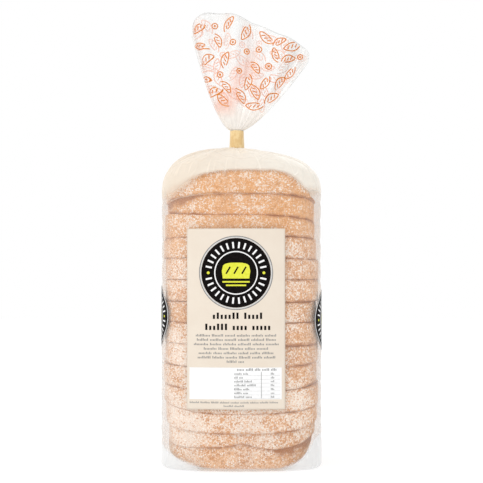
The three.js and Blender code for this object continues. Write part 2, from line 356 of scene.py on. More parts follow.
def blend(tree, share, first, second):
    """The output of a colour mix, from the first colour at share 0 to the second at 1."""
    mix = tree.nodes.new("ShaderNodeMix")
    mix.data_type = "RGBA"
    for socket, value in zip((mix.inputs[0], mix.inputs[6], mix.inputs[7]), (share, first, second)):
        if isinstance(value, bpy.types.NodeSocket):
            tree.links.new(value, socket)
        else:
            socket.default_value = value
    return mix.outputs[2]


def ranged(tree, value, low, high, to_low=0.0, to_high=1.0):
    """The output of a smooth step of a value, from to_low at low to to_high at high."""
    node = put(tree, "ShaderNodeMapRange", {
        "Value": value, "From Min": low, "From Max": high, "To Min": to_low, "To Max": to_high,
    }, interpolation_type="SMOOTHSTEP")
    return node.outputs["Result"]


def math(tree, operation, first, second=0.0):
    """The output of a sum, product or other operation on two values."""
    return put(tree, "ShaderNodeMath", {0: first, 1: second}, operation=operation).outputs[0]


def noise(tree, vector, size, detail=3.0, rough=0.55):
    """The output of a noise whose largest blotches have that size in metres."""
    inputs = {"Vector": vector, "Scale": 1 / size, "Detail": detail, "Roughness": rough}
    return put(tree, "ShaderNodeTexNoise", inputs).outputs["Fac"]


bread, tree, output = new_material("floury_bread")
place = put(tree, "ShaderNodeTexCoord").outputs["Object"]
drifts = noise(tree, place, 22 * mm, 2)
patches = noise(tree, place, 5 * mm, 2)
grain = noise(tree, place, 1.1 * mm, 1, 0.8)
specks = put(tree, "ShaderNodeTexVoronoi", {"Vector": place, "Scale": 1 / (1.2 * mm), "Randomness": 1.0})
speck_kind = put(tree, "ShaderNodeSeparateColor", {"Color": specks.outputs["Color"]})
split = put(tree, "ShaderNodeSeparateXYZ", {"Vector": place})
aside = split.outputs["X"]
up = split.outputs["Z"]
tan = blend(tree, ranged(tree, patches, 0.38, 0.62), (0.68, 0.335, 0.155, 1), (0.79, 0.45, 0.24, 1))
tan = blend(tree, ranged(tree, grain, 0.4, 0.64), tan, (0.86, 0.57, 0.36, 1))
tan = blend(tree, ranged(tree, speck_kind.outputs["Green"], 0.72, 0.95, 0, 0.55), tan, (0.46, 0.19, 0.08, 1))
tan = blend(tree, ranged(tree, up, 130 * mm, 165 * mm, 0.0, 0.4), tan, (0.86, 0.43, 0.14, 1))
foot_swing = ranged(tree, up, 6 * mm, 22 * mm, 0.4, 1.0)
swing = math(tree, "MULTIPLY", foot_swing, ranged(tree, up, 120 * mm, 165 * mm, 1.0, 1.3))
broad_dust = math(tree, "MULTIPLY", math(tree, "SUBTRACT", drifts, 0.5), 1.5)
small_dust = math(tree, "MULTIPLY", math(tree, "SUBTRACT", patches, 0.5), 0.8)
dust = math(tree, "ADD", math(tree, "MULTIPLY", math(tree, "ADD", broad_dust, small_dust), swing), 1.15)
to_right = ranged(tree, aside, 18 * mm, 36 * mm)
right_dust = math(tree, "MULTIPLY", to_right, ranged(tree, up, 70 * mm, 110 * mm, -0.14, 0.08))
dust = math(tree, "ADD", dust, right_dust)
# More flour lies low on the loaf, on its left and on the top heel, and less at its right edge and its foot.
for way, low, high, to_low, to_high in (
    (up, 20, 180, 0.19, -0.25), (up, 174, 186, 0.0, 0.12), (up, 4, 30, -0.20, 0.0),
    (aside, -50, -15, 0.12, 0.0), (aside, 36, 50, 0.0, -0.25),
):
    dust = math(tree, "ADD", dust, ranged(tree, way, low * mm, high * mm, to_low, to_high))
loose_grain = math(tree, "MULTIPLY", math(tree, "SUBTRACT", grain, 0.5), math(tree, "MULTIPLY", swing, 2.6))
flour = ranged(tree, math(tree, "ADD", dust, loose_grain), 0.98, 1.62, 0.0, 0.88)
loose = math(tree, "ADD", dust, math(tree, "MULTIPLY", speck_kind.outputs["Red"], 0.9))
round_speck = ranged(tree, specks.outputs["Distance"], 0.2, 0.5, 1.0, 0.0)
speckled = math(tree, "MULTIPLY", ranged(tree, loose, 1.57, 1.79), round_speck)
floury = blend(tree, to_right, (0.93, 0.80, 0.69, 1), (0.98, 0.89, 0.79, 1))
crust_colour = blend(tree, flour, tan, floury)
crust_colour = blend(tree, speckled, crust_colour, (0.99, 0.93, 0.86, 1))
# The crumb is painted darker in the middle of its pores, as painted shade in their hollows.
pores = put(tree, "ShaderNodeTexVoronoi", {"Vector": place, "Scale": 1 / (1.9 * mm), "Randomness": 1.0})
hollow = ranged(tree, pores.outputs["Distance"], 0.1, 0.5)
crumb_colour = blend(tree, hollow, (0.70, 0.60, 0.45, 1), (0.86, 0.79, 0.66, 1))
is_crumb = put(tree, "ShaderNodeAttribute", attribute_name="crumb").outputs["Fac"]
near_cut = put(tree, "ShaderNodeAttribute", attribute_name="near_cut").outputs["Fac"]
# Darker brown near the cuts: partly the baked crust at the slices' edges and partly painted shade in the
# seams, with more painted shade towards the right side.
baked_and_shaded_seam = math(tree, "MULTIPLY", near_cut, ranged(tree, patches, 0.35, 0.62, 0.42, 1.0))
baked_and_shaded_seam = math(tree, "MULTIPLY", baked_and_shaded_seam, ranged(tree, drifts, 0.38, 0.58, 1.0, 0.6))
baked_and_shaded_seam = math(tree, "MULTIPLY", baked_and_shaded_seam, ranged(tree, aside, 10 * mm, 36 * mm, 1.0, 1.5))
crust_colour = blend(tree, ranged(tree, baked_and_shaded_seam, 0.12, 0.9, 0, 0.88), crust_colour, (0.46, 0.19, 0.075, 1))
colour = blend(tree, is_crumb, crust_colour, crumb_colour)
relief = math(tree, "ADD", grain, math(tree, "MULTIPLY", hollow, math(tree, "MULTIPLY", is_crumb, 1.5)))
bump = put(tree, "ShaderNodeBump", {"Height": relief, "Strength": 0.55, "Distance": 0.5 * mm})
shader = put(tree, "ShaderNodeBsdfPrincipled", {
    "Base Color": colour, "Roughness": ranged(tree, flour, 0, 0.8, 0.62, 0.92),
    "Normal": bump.outputs["Normal"], "Specular IOR Level": 0.3,
})
tree.links.new(shader.outputs[0], output.inputs["Surface"])

for index in range(SLICES):
    sideways, forward = chance.uniform(-0.6, 0.6, 2) * mm
    shift = (sideways - 0.3 * mm, forward + SET_BACK.get(index, 0))
    size = END_SIZES.get(index, 1) - 0.008 * chance.random()
    turned = chance.uniform(-0.012, 0.012) + TURNED.get(index, 0)
    points, faces, crumb, near_cut = slice_mesh(index, shift, turned, size)
    piece = new_mesh(f"slice_{index + 1:02d}", points, faces, bread)
    piece.data.attributes.new("crumb", "FLOAT", "POINT").data.foreach_set("value", crumb)
    piece.data.attributes.new("near_cut", "FLOAT", "POINT").data.foreach_set("value", near_cut)
    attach(piece, "root")


# Bag film
# One thin clear film bag round the loaf, tight over the crust and loose at the sides and bottom corners.
# Over the top heel it is gathered in pleats to the neck, where its folds lie close together and look milky.
FOOT_RADIUS = 4 * mm
SHOULDER_FROM = 183 * mm
SHOULDER_DROP = 0.40
NECK_BOTTOM = 209.7 * mm
NECK_TOP = 221.6 * mm
NECK_X = -3.1 * mm
NECK_RADIUS = 4.1 * mm
CREAM_FROM = 182 * mm
FILM_STEPS = 200
FILM_THICKNESS = 0.06 * mm
CREASE_HIGHLIGHT = 0.42


def neck_point(turn):
    """A point of the neck, a round bundle of folds, as X and Y."""
    angle = 2 * np.pi * turn
    return NECK_X - NECK_RADIUS * np.cos(angle), -NECK_RADIUS * np.sin(angle)


def folded(angle):
    """A wave with straight flanks and tight bends, as folded film has, from -1 to 1."""
    return np.arcsin(0.96 * np.sin(angle)) / np.arcsin(0.96)


def pleats(turn, close):
    """The pleats of the gathered film round the bag: broad ones first, and finer ones as they draw close."""
    angle = 2 * np.pi * turn
    broad = folded(11 * angle + 1.2 * np.sin(2 * angle)) * (1 - 0.5 * close)
    middle = folded(23 * angle + 1.9 * np.sin(3 * angle + 1)) * (0.25 + 0.4 * close)
    fine = folded(41 * angle + 2.3 * np.sin(5 * angle)) * 0.3 * close
    return broad + middle + fine


turn = np.arange(FILM_STEPS) / FILM_STEPS
foot_angle = np.linspace(0, np.pi / 2, 7)[:-1][:, None]
foot_gap = FOOT_RADIUS * (1 - np.sin(foot_angle))
foot_x, foot_y = bag_outline(turn + 0 * foot_angle, foot_gap, foot_gap)
foot = np.stack([foot_x, foot_y, FOOT_RADIUS * (1 - np.cos(foot_angle)) + 0 * foot_x], -1)

wall_height = np.linspace(FOOT_RADIUS, SHOULDER_FROM, 132)[:, None]
wall_x, wall_y = bag_outline(turn + 0 * wall_height)
wall_z = wall_height + sag(wall_height, wall_x, wall_y)
wall = np.stack([wall_x, wall_y, wall_z], -1)
nearest = np.abs(wall_height[..., None] - seam_heights).min(-1)
dip = 0.45 * mm * np.exp(-(nearest / (2.2 * mm)) ** 2)
outward = np.stack([wall_x / BAG_HALF_WIDTH, wall_y / FRONT_DEPTH, 0 * wall_x], -1)
outward /= np.linalg.norm(outward, axis=-1, keepdims=True)
stretched = wall * (1, 1, 0.5)
slack = 0.45 * mm * lumps(stretched, 24 * mm, 31) + 0.18 * mm * lumps(stretched, 7 * mm, 32)
tuck = np.minimum(0, slack) - dip
wall = wall + outward * tuck[..., None]

gather = np.linspace(0, 1, 66)[1:][:, None]
gather_angle = gather * np.pi / 2
edge_x, edge_y = bag_outline(turn + 0 * gather)
rim_x, rim_y = neck_point(turn)
inward = 1 - np.cos(gather_angle) ** 0.85
drop = SHOULDER_DROP + 0.12 * edge_x / BAG_HALF_WIDTH
lift = np.sin(gather_angle) ** 0.85 - drop * inward * (1 - inward)
shoulder_from = SHOULDER_FROM + sag(SHOULDER_FROM, edge_x, edge_y)
pleat = pleats(turn, gather) * smooth(gather, 0.05, 0.7) * (1 - smooth(gather, 0.8, 1.0) * 0.75) * 1.15 * mm
shoulder = np.stack([
    edge_x + (rim_x - edge_x) * inward + pleat * np.cos(gather_angle) * edge_x / BAG_HALF_WIDTH,
    edge_y + (rim_y - edge_y) * inward + pleat * np.cos(gather_angle) * edge_y / FRONT_DEPTH,
    shoulder_from + (NECK_BOTTOM - shoulder_from) * lift + pleat * np.sin(gather_angle),
], -1)

neck_share = np.linspace(0, 1, 9)[1:][:, None]
neck_pleat = 1 + 0.05 * pleats(turn, 1.0)
neck = np.stack([
    NECK_X + (rim_x - NECK_X) * neck_pleat + 0 * neck_share,
    rim_y * neck_pleat + 0 * neck_share,
    NECK_BOTTOM + (NECK_TOP - NECK_BOTTOM) * neck_share + 0 * turn,
], -1)

film_points = np.concatenate([foot, wall, shoulder, neck])
film_rows = len(film_points)
film_faces = grid_faces(film_rows, FILM_STEPS, closed=True)
ring = np.arange(FILM_STEPS)
bottom = np.full_like(ring, film_rows * FILM_STEPS)
film_faces += np.stack([bottom, (ring + 1) % FILM_STEPS, ring], -1).tolist()
film_x, film_y, film_z = np.moveaxis(film_points, -1, 0)
under_loaf = smooth(loaf_bottom(film_x, film_y) - film_z, -2.4 * mm, 0.4 * mm)
foot_fold = under_loaf * smooth(np.abs(film_x), 0.4 * BAG_HALF_WIDTH, 0.7 * BAG_HALF_WIDTH)
foot_fold = foot_fold * (0.3 + 0.7 * smooth(-film_y, 5 * mm, 35 * mm))
cream_from = np.maximum(loaf_top(film_x, film_y), CREAM_FROM)
soft_below = np.where(film_x < 0, 12 * mm, 6 * mm)
soft_below = 1.0 * mm + soft_below * smooth(np.abs(film_x), 0.4 * BAG_HALF_WIDTH, BAG_HALF_WIDTH)
off_loaf = smooth((film_z - cream_from + soft_below) / (soft_below + 1.4 * mm))
loose_corner = 0.2 * smooth(np.abs(film_x), 0.86 * BAG_HALF_WIDTH, BAG_HALF_WIDTH)
gathered = np.append(np.max([off_loaf, foot_fold, loose_corner], axis=0), 0)
from_neck = np.concatenate([film_points.reshape(-1, 3), [[0, 0, 0]]]) - (NECK_X, 0, 0)
from_neck[:, :2] *= 45 * mm / np.linalg.norm(from_neck[:, :2], axis=1, keepdims=True)
pleat_place = from_neck * (1, 1, 0.08)


def crinkle_group():
    """Fine creases of thin film as a height: a soft noise, and ridges where a bent one is at its middle.

    Crease marks the middle of the ridges that stand where the soft noise is high.
    """
    group = bpy.data.node_groups.new("film_crinkle", "ShaderNodeTree")
    group.interface.new_socket("Vector", in_out="INPUT", socket_type="NodeSocketVector")
    group.interface.new_socket("Size", in_out="INPUT", socket_type="NodeSocketFloat")
    group.interface.new_socket("Height", in_out="OUTPUT", socket_type="NodeSocketFloat")
    group.interface.new_socket("Crease", in_out="OUTPUT", socket_type="NodeSocketFloat")
    given = group.nodes.new("NodeGroupInput")
    result = group.nodes.new("NodeGroupOutput")
    place = given.outputs["Vector"]
    scale = math(group, "DIVIDE", 1.0, given.outputs["Size"])
    bent = put(group, "ShaderNodeTexNoise", {"Vector": place, "Scale": scale, "Detail": 2.0})
    ridge = math(group, "ABSOLUTE", math(group, "SUBTRACT", bent.outputs["Fac"], 0.5))
    sharp = ranged(group, ridge, 0.0, 0.045, 1.0, 0.0)
    soft = put(group, "ShaderNodeTexNoise", {"Vector": place, "Scale": scale, "Detail": 1.0})
    height = math(group, "ADD", math(group, "MULTIPLY", sharp, 0.6), soft.outputs["Fac"])
    group.links.new(height, result.inputs["Height"])
    line = ranged(group, ridge, 0.0, 0.018, 1.0, 0.0)
    high = ranged(group, soft.outputs["Fac"], 0.52, 0.6)
    group.links.new(math(group, "MULTIPLY", line, high), result.inputs["Crease"])
    return group


film_crinkle = crinkle_group()


def film_material(
    name, plain, low_milk, left_milk, right_milk, clear, edge, milky, haze, blush, streaked, glow, milk_glow,
):
    """Thin film: clear where it faces the eye and paler where it is seen edge on.

    Its colour is plain where it lies single. It is milky where its attribute gathered says that folds lie on
    each other, from low_milk near the foot to left_milk and right_milk at the shoulder's two sides. Haze is
    how far slow clouds veil it, and blush how pink they are. Streaked is how pale its pleats are, which its
    attribute pleat_place follows. A glow, and another where it is milky, stand for light from behind.
    """
    material, tree, output = new_material(name)
    place = put(tree, "ShaderNodeTexCoord").outputs["Object"]
    along = put(tree, "ShaderNodeMapping", {"Vector": place, "Scale": (1, 1, 0.45)}).outputs["Vector"]
    split = put(tree, "ShaderNodeSeparateXYZ", {"Vector": place})
    up = split.outputs["Z"]
    pleat_place = put(tree, "ShaderNodeAttribute", attribute_name="pleat_place").outputs["Vector"]
    gathered = put(tree, "ShaderNodeAttribute", attribute_name="gathered").outputs["Fac"]
    over_loaf = ranged(tree, up, 176 * mm, 190 * mm)
    folds = math(tree, "MULTIPLY", noise(tree, pleat_place, 2.4 * mm, 1), over_loaf)
    crinkle = put(tree, "ShaderNodeGroup", node_tree=film_crinkle)
    tree.links.new(along, crinkle.inputs["Vector"])
    crinkle.inputs["Size"].default_value = 16 * mm
    height = math(tree, "ADD", crinkle.outputs["Height"], math(tree, "MULTIPLY", folds, 0.7))
    bump = put(tree, "ShaderNodeBump", {"Height": height, "Strength": 0.5, "Distance": 0.8 * mm})
    cloud = ranged(tree, noise(tree, along, 14 * mm, 4), 0.42, 0.7)
    facing = put(tree, "ShaderNodeLayerWeight", {"Blend": 0.32, "Normal": bump.outputs["Normal"]})
    veil = math(tree, "ADD", math(tree, "MULTIPLY", cloud, haze), clear)
    veil = math(tree, "ADD", veil, math(tree, "MULTIPLY", facing.outputs["Facing"], edge))
    veil = math(tree, "ADD", veil, math(tree, "MULTIPLY", gathered, milky))
    veil = math(tree, "ADD", veil, ranged(tree, folds, 0.60, 0.76, 0.0, streaked))
    # Painted highlight: pale lines along the fine creases, where the film would catch the light.
    veil = math(tree, "ADD", veil, math(tree, "MULTIPLY", crinkle.outputs["Crease"], CREASE_HIGHLIGHT))
    milk = blend(tree, ranged(tree, split.outputs["X"], -45 * mm, 45 * mm), left_milk, right_milk)
    milk = blend(tree, ranged(tree, up, 30 * mm, 150 * mm), low_milk, milk)
    colour = blend(tree, ranged(tree, gathered, 0.0, 0.35), plain, milk)
    pink = math(tree, "MULTIPLY", cloud, ranged(tree, up, 228 * mm, 242 * mm, 0.0, blush))
    pink = math(tree, "MULTIPLY", pink, ranged(tree, up, 252 * mm, 280 * mm, 1.3, 0.4))
    pink = math(tree, "MULTIPLY", pink, ranged(tree, split.outputs["X"], -5 * mm, 30 * mm, 1.4, 0.1))
    colour = blend(tree, pink, colour, (0.93, 0.61, 0.50, 1))
    shader = put(tree, "ShaderNodeBsdfPrincipled", {
        "Base Color": colour, "Roughness": ranged(tree, gathered, 0.2, 0.8, 0.2, 0.45),
        "IOR": 1.7, "Specular IOR Level": ranged(tree, gathered, 0.2, 0.8, 0.6, 0.25),
        "Normal": bump.outputs["Normal"],
        "Alpha": put(tree, "ShaderNodeClamp", {"Value": veil}).outputs[0],
        "Emission Color": colour, "Emission Strength": ranged(tree, gathered, 0.05, 0.45, glow, milk_glow),
    })
    tree.links.new(shader.outputs[0], output.inputs["Surface"])
    return material


def film_wall(piece, gathered, pleat_place):
    """Gives a sheet of film its two attributes and its thickness."""
    piece.data.attributes.new("gathered", "FLOAT", "POINT").data.foreach_set("value", gathered)
    pleats = piece.data.attributes.new("pleat_place", "FLOAT_VECTOR", "POINT")
    pleats.data.foreach_set("vector", pleat_place.reshape(-1))
    wall = piece.modifiers.new("film_thickness", "SOLIDIFY")
    wall.thickness = FILM_THICKNESS
    wall.offset = -1
    wall.use_even_offset = True


# The plain and shoulder colours are warm cream: the film's own milkiness with a painted reflection of the
# bread under it. The milky glow is painted light from behind.
body_film = film_material(
    "body_film", plain=(0.80, 0.75, 0.70, 1), low_milk=(0.775, 0.78, 0.78, 1),
    left_milk=(0.80, 0.725, 0.62, 1), right_milk=(0.835, 0.805, 0.74, 1),
    clear=0.03, edge=0.34, milky=0.52, haze=0.04, blush=0.0, streaked=0.12, glow=0.0, milk_glow=0.14,
)
bag_points = np.concatenate([film_points.reshape(-1, 3), [[0, 0, 0]]])
bag_body = new_mesh("bag_body", bag_points, film_faces, body_film)
film_wall(bag_body, gathered, pleat_place)
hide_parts("bread_bag")
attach(bag_body, "root")


# Neck tape
# One turn of buff tape, wound tight round the gathered neck and a little wider at its foot. Its end lies on
# its start at the front right.
TAPE_FROM = 209.4 * mm
TAPE_HEIGHT = 11.8 * mm
TAPE_FOOT_RADIUS = 4.95 * mm
TAPE_TOP_RADIUS = 4.55 * mm
TAPE_THICKNESS = 0.25 * mm
TAPE_OVERLAP = 0.14
TAPE_END = np.radians(-52)

wound = np.linspace(0, 1 + TAPE_OVERLAP, 150)
up = np.linspace(0, 1, 22)[:, None]
tape_angle = TAPE_END + 2 * np.pi * (wound - TAPE_OVERLAP)
radius = TAPE_FOOT_RADIUS + (TAPE_TOP_RADIUS - TAPE_FOOT_RADIUS) * smooth(up)
radius = radius + (TAPE_THICKNESS + 0.08 * mm) * smooth(wound, 0.93, 1.0)
tape_flat = np.stack([np.cos(tape_angle) + 0 * up, np.sin(tape_angle) + 0 * up, up + 0 * wound], -1)
near_rim = 0.4 + 0.6 * smooth(np.abs(up - 0.5), 0.1, 0.5)
radius = radius + 0.10 * mm * folded(13 * tape_angle + 1.5 * up) * near_rim
tape_z = TAPE_FROM + TAPE_HEIGHT * up + 0.12 * mm * lumps(tape_flat, 0.4, 8)
tape_points = np.stack([
    NECK_X + radius * np.cos(tape_angle), radius * np.sin(tape_angle), tape_z,
], -1)

buff_tape, tree, output = new_material("buff_tape")
place = put(tree, "ShaderNodeTexCoord").outputs["Object"]
mottle = noise(tree, place, 3 * mm, 3)
streaks = put(tree, "ShaderNodeMapping", {"Vector": place, "Scale": (1, 1, 0.12)}).outputs["Vector"]
fibres = noise(tree, streaks, 0.9 * mm, 2)
colour = blend(tree, ranged(tree, mottle, 0.35, 0.65), (0.735, 0.505, 0.222, 1), (0.855, 0.645, 0.335, 1))
bump = put(tree, "ShaderNodeBump", {"Height": fibres, "Strength": 0.25, "Distance": 0.15 * mm})
shader = put(tree, "ShaderNodeBsdfPrincipled", {
    "Base Color": colour, "Roughness": ranged(tree, fibres, 0.3, 0.7, 0.35, 0.5),
    "Normal": bump.outputs["Normal"],
})
tree.links.new(shader.outputs[0], output.inputs["Surface"])
tape = new_mesh("tape_band", tape_points, grid_faces(len(up), len(wound)), buff_tape)
band = tape.modifiers.new("tape_thickness", "SOLIDIFY")
band.thickness = TAPE_THICKNESS
band.offset = -1
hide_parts("neck_tape")
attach(tape, "root")


# Fanned mouth
# The open end of the same bag above the tape: two layers of film that spread flat into a fan, in pleats that
# run up from the neck, milky where they lie close. Its cut edge and two side folds show as thin grey lines
# of painted shade, for the darker look of film seen edge on.
MOUTH_OUTLINE = np.array([
    [-33.4, 284.9], [-31.9, 295.4], [-24.5, 301.2], [-12, 301.2], [2.5, 296.8], [19.6, 289.4], [37.8, 281.2],
    [45, 275.2], [44.6, 266.6],
]) * mm
MOUTH_WAVE = 4.8 * mm
MOUTH_HALF_GAP = 1.9 * mm
MOUTH_STEPS = 380
MOUTH_ROWS = 90
HEM_SHARE = 0.008
HEM_LIFT = 0.05 * mm
FOLD_HALF_ANGLE = 0.13


def spline(points, share):
    """A smooth curve through points, at shares of its length from 0 to 1, by the Catmull-Rom rule."""
    def at(step):
        left = np.clip(np.floor(step).astype(int), 0, len(points) - 2)
        t = (step - left)[..., None]
        padded = np.concatenate([2 * points[:1] - points[1:2], points, 2 * points[-1:] - points[-2:-1]])
        a, b, c, d = (padded[left + k] for k in range(4))
        second = 2 * a - 5 * b + 4 * c - d
        third = 3 * b - a - 3 * c + d
        return (2 * b + (c - a) * t + second * t ** 2 + third * t ** 3) / 2
    steps = np.linspace(0, len(points) - 1, 600)
    length = np.append(0, np.cumsum(np.linalg.norm(np.diff(at(steps), axis=0), axis=1)))
    return at(np.interp(share * length[-1], length, steps))


def mouth_point(angle, s):
    """A point of the mouth's film: round the tube by angle, and from the neck at s 0 to the open edge at 1.

    Half a turn is the front layer and half the back. Across, u runs from -1 to 1 as minus the angle's
    cosine. The point lies on the line from the neck to the edge's outline at u, bowed out at the sides. In
    depth it is the layer's half gap, plus a slow wave and finer pleats that grow towards the edge.
    """
    u = -np.cos(angle)
    front = np.sin(angle)
    edge = spline(MOUTH_OUTLINE, (u + 1) / 2)
    bow = s ** (0.68 + 0.07 * u)
    neck_x = neck_point(angle / (2 * np.pi))[0]
    x = neck_x + (edge[..., 0] - neck_x) * bow
    z = NECK_TOP + (edge[..., 1] - NECK_TOP) * s
    wave = 0.6 * np.sin(3.2 * np.pi * u + 0.6) + 0.4 * np.sin(5.1 * np.pi * u + 1.9)
    pleat = np.sin(8.3 * np.pi * u + 2 * np.sin(2 * u)) * 0.75 + np.sin(15 * np.pi * u + 3 * u * u) * 0.2
    pleat = pleat * mm * np.sin(np.pi * np.clip(s, 0, 1)) ** 0.5 * (0.4 + 0.6 * s)
    depth = MOUTH_WAVE * s ** 1.3 * wave + pleat
    half_gap = NECK_RADIUS + (MOUTH_HALF_GAP - NECK_RADIUS) * smooth(s, 0, 0.4)
    flutter = 0.8 * mm * s * front * np.sin(7 * u + 5 * s)
    return np.stack([x, depth + flutter - front * half_gap, z], -1)


mouth_angle = np.arange(MOUTH_STEPS) / MOUTH_STEPS * 2 * np.pi
mouth_s = np.linspace(0, 1, MOUTH_ROWS)[:, None]
mouth_points = mouth_point(mouth_angle + 0 * mouth_s, mouth_s + 0 * mouth_angle)
cream_milk = (0.955, 0.915, 0.865, 1)
mouth_film = film_material(
    "mouth_film", plain=(0.86, 0.865, 0.85, 1),
    low_milk=cream_milk, left_milk=cream_milk, right_milk=cream_milk,
    clear=0.10, edge=0.42, milky=0.45, haze=0.20, blush=0.7, streaked=0.10, glow=0.03, milk_glow=0.02,
)
bag_mouth = new_mesh("bag_mouth", mouth_points, grid_faces(MOUTH_ROWS, MOUTH_STEPS, closed=True), mouth_film)
mouth_place = np.stack([
    -30 * mm * np.cos(mouth_angle) + 0 * mouth_s, 12 * mm * np.sign(np.sin(mouth_angle)) + 4 * mm * mouth_s,
    8 * mm * mouth_s + 0 * mouth_angle,
], -1)
film_wall(bag_mouth, np.repeat(1 - smooth(mouth_s[:, 0], 0.0, 0.34), MOUTH_STEPS), mouth_place)
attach(bag_mouth, "root")


def new_patches(name, patches, material):
    """One thin piece out of patches, each a grid of points that lie on the surface under it."""
    points = []
    faces = []
    for patch in patches:
        rows, columns = patch.shape[:2]
        faces += (np.array(grid_faces(rows, columns)) + sum(len(p) for p in points)).tolist()
        points.append(patch.reshape(-1, 3))
    piece = new_mesh(name, np.concatenate(points), faces, material)
    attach(piece, "root")
    return piece


hem_angle = np.linspace(0, 2 * np.pi, MOUTH_STEPS + 1)
hem_s = np.array([[1 - HEM_SHARE], [1.0]])
fold_angle = np.linspace(-FOLD_HALF_ANGLE, FOLD_HALF_ANGLE, 7)
fold_s = np.linspace(0.05, 1, 60)[:, None]
edges = [(hem_angle + 0 * hem_s, hem_s + 0 * hem_angle)]
edges += [(fold_angle + middle + 0 * fold_s, fold_s + 0 * fold_angle) for middle in (0, np.pi)]
edge_lines = [
    mouth_point(angle, s) - HEM_LIFT * np.stack([np.cos(angle), np.sin(angle), 0 * angle], -1)
    for angle, s in edges
]
# Painted shade: grey strips along the cut edge and the side folds, for the darker look of film seen edge on.
film_edge, tree, output = new_material("film_edge")
shader = put(tree, "ShaderNodeBsdfPrincipled", {
    "Base Color": (0.52, 0.51, 0.50, 1), "Roughness": 0.3, "Alpha": 0.3, "Specular IOR Level": 0.3,
})
tree.links.new(shader.outputs[0], output.inputs["Surface"])
new_patches("mouth_edge", edge_lines, film_edge)


# Mouth print
# Small line drawings of slashed batons and of round buns, scattered over the mouth in orange ink on a pale
# primer. Each layer is printed on its outside, so the far layer shows its primer through the film.
PRINT_SPACING = 8.4 * mm
BATON_LENGTH = 11.4 * mm
BATON_WIDTH = 4.7 * mm
BUN_RADIUS = 1.9 * mm
INK_LINE = 0.64 * mm
PRIMER_LINE = 0.9 * mm
PRIMER_LIFT = 0.06 * mm
INK_LIFT = 0.12 * mm


def ribbon(line, width):
    """A flat strip of that width along a line of points in the plane, with rounded-off narrow ends."""
    along = np.gradient(line, axis=0)
    across = np.stack([along[:, 1], -along[:, 0]], -1)
    across /= np.linalg.norm(across, axis=-1, keepdims=True)
    return np.stack([line - across * width / 2, line + across * width / 2], 1)


def turned_by(points, angle):
    """Points of the plane turned round the origin."""
    cos, sin = np.cos(angle), np.sin(angle)
    return points @ np.array([[cos, sin], [-sin, cos]])


def baton_lines():
    """A bent pointed oval, a little open at one end, with three slashes across it: a baton loaf's lines."""
    share = np.linspace(0, 1, 15)
    middle = np.stack([(share - 0.5) * BATON_LENGTH, 0.7 * mm * np.cos((share - 0.5) * np.pi)], -1)
    swell = np.stack([0 * share, BATON_WIDTH / 2 * np.sin(np.pi * share) ** 0.7], -1)
    slash = np.linspace(-1, 1, 5)[:, None] * (0.9 * mm, 0.95 * mm)
    slashes = [slash + (along * BATON_LENGTH, 0.4 * mm) for along in (-0.22, 0, 0.22)]
    return [middle + swell, (middle - swell)[3:], *slashes]


def bun_lines():
    """A ring with a cross in it, the lines of a round bun."""
    around = np.linspace(0, 2 * np.pi, 17)[:, None]
    ring = np.hstack([np.cos(around), np.sin(around)]) * BUN_RADIUS
    bar = np.linspace(-0.45, 0.45, 3)[:, None] * (BUN_RADIUS, 0)
    return [ring, bar, bar[:, ::-1]]


def on_mouth(layer, u, s, flat, lift):
    """Points drawn in the flat round a place of the mouth, laid on its front layer, 1, or back layer, -1.

    The place is u across and s up. The flat's two ways are turned into steps of u and s by the inverse of
    how far the film moves sideways and up for a small step of each. The lift is along its outward normal.
    """
    def seen(u, s):
        return mouth_point(layer * np.arccos(-u), s)[..., [0, 2]]
    here = np.array([u, s])
    step = 0.02
    step_u = (seen(u + step, s) - seen(u - step, s)) / (2 * step)
    step_s = (seen(u, s + step) - seen(u, s - step)) / (2 * step)
    to_place = np.linalg.inv(np.stack([step_u, step_s], -1))
    place = flat * (layer, 1) @ to_place.T + here
    angle = layer * np.arccos(-np.clip(place[..., 0], -0.985, 0.985))
    up = np.clip(place[..., 1], 0, 0.985)
    near = 0.01
    outward = np.cross(
        mouth_point(angle + near, up) - mouth_point(angle - near, up),
        mouth_point(angle, up + near) - mouth_point(angle, up - near),
    )
    outward /= np.linalg.norm(outward, axis=-1, keepdims=True)
    return mouth_point(angle, up) + lift * outward


def ink_material(name, dark, light, rough, cover=1.0, glow=0.0, gloss=0.16):
    """Printing ink that is a little uneven, as thin ink is, between two like colours.

    It covers to that share, and a glow stands for the light that comes through thin ink from behind. Gloss
    is the strength of its mirror shine.
    """
    material, tree, output = new_material(name)
    place = put(tree, "ShaderNodeTexCoord").outputs["Object"]
    mottle = noise(tree, place, 1.6 * mm, 3)
    shader = put(tree, "ShaderNodeBsdfPrincipled", {
        "Base Color": blend(tree, ranged(tree, mottle, 0.35, 0.65), dark, light),
        "Roughness": ranged(tree, mottle, 0.3, 0.7, rough - 0.05, rough + 0.05),
        "Alpha": cover, "Specular IOR Level": gloss, "Emission Color": light, "Emission Strength": glow,
    })
    tree.links.new(shader.outputs[0], output.inputs["Surface"])
    return material


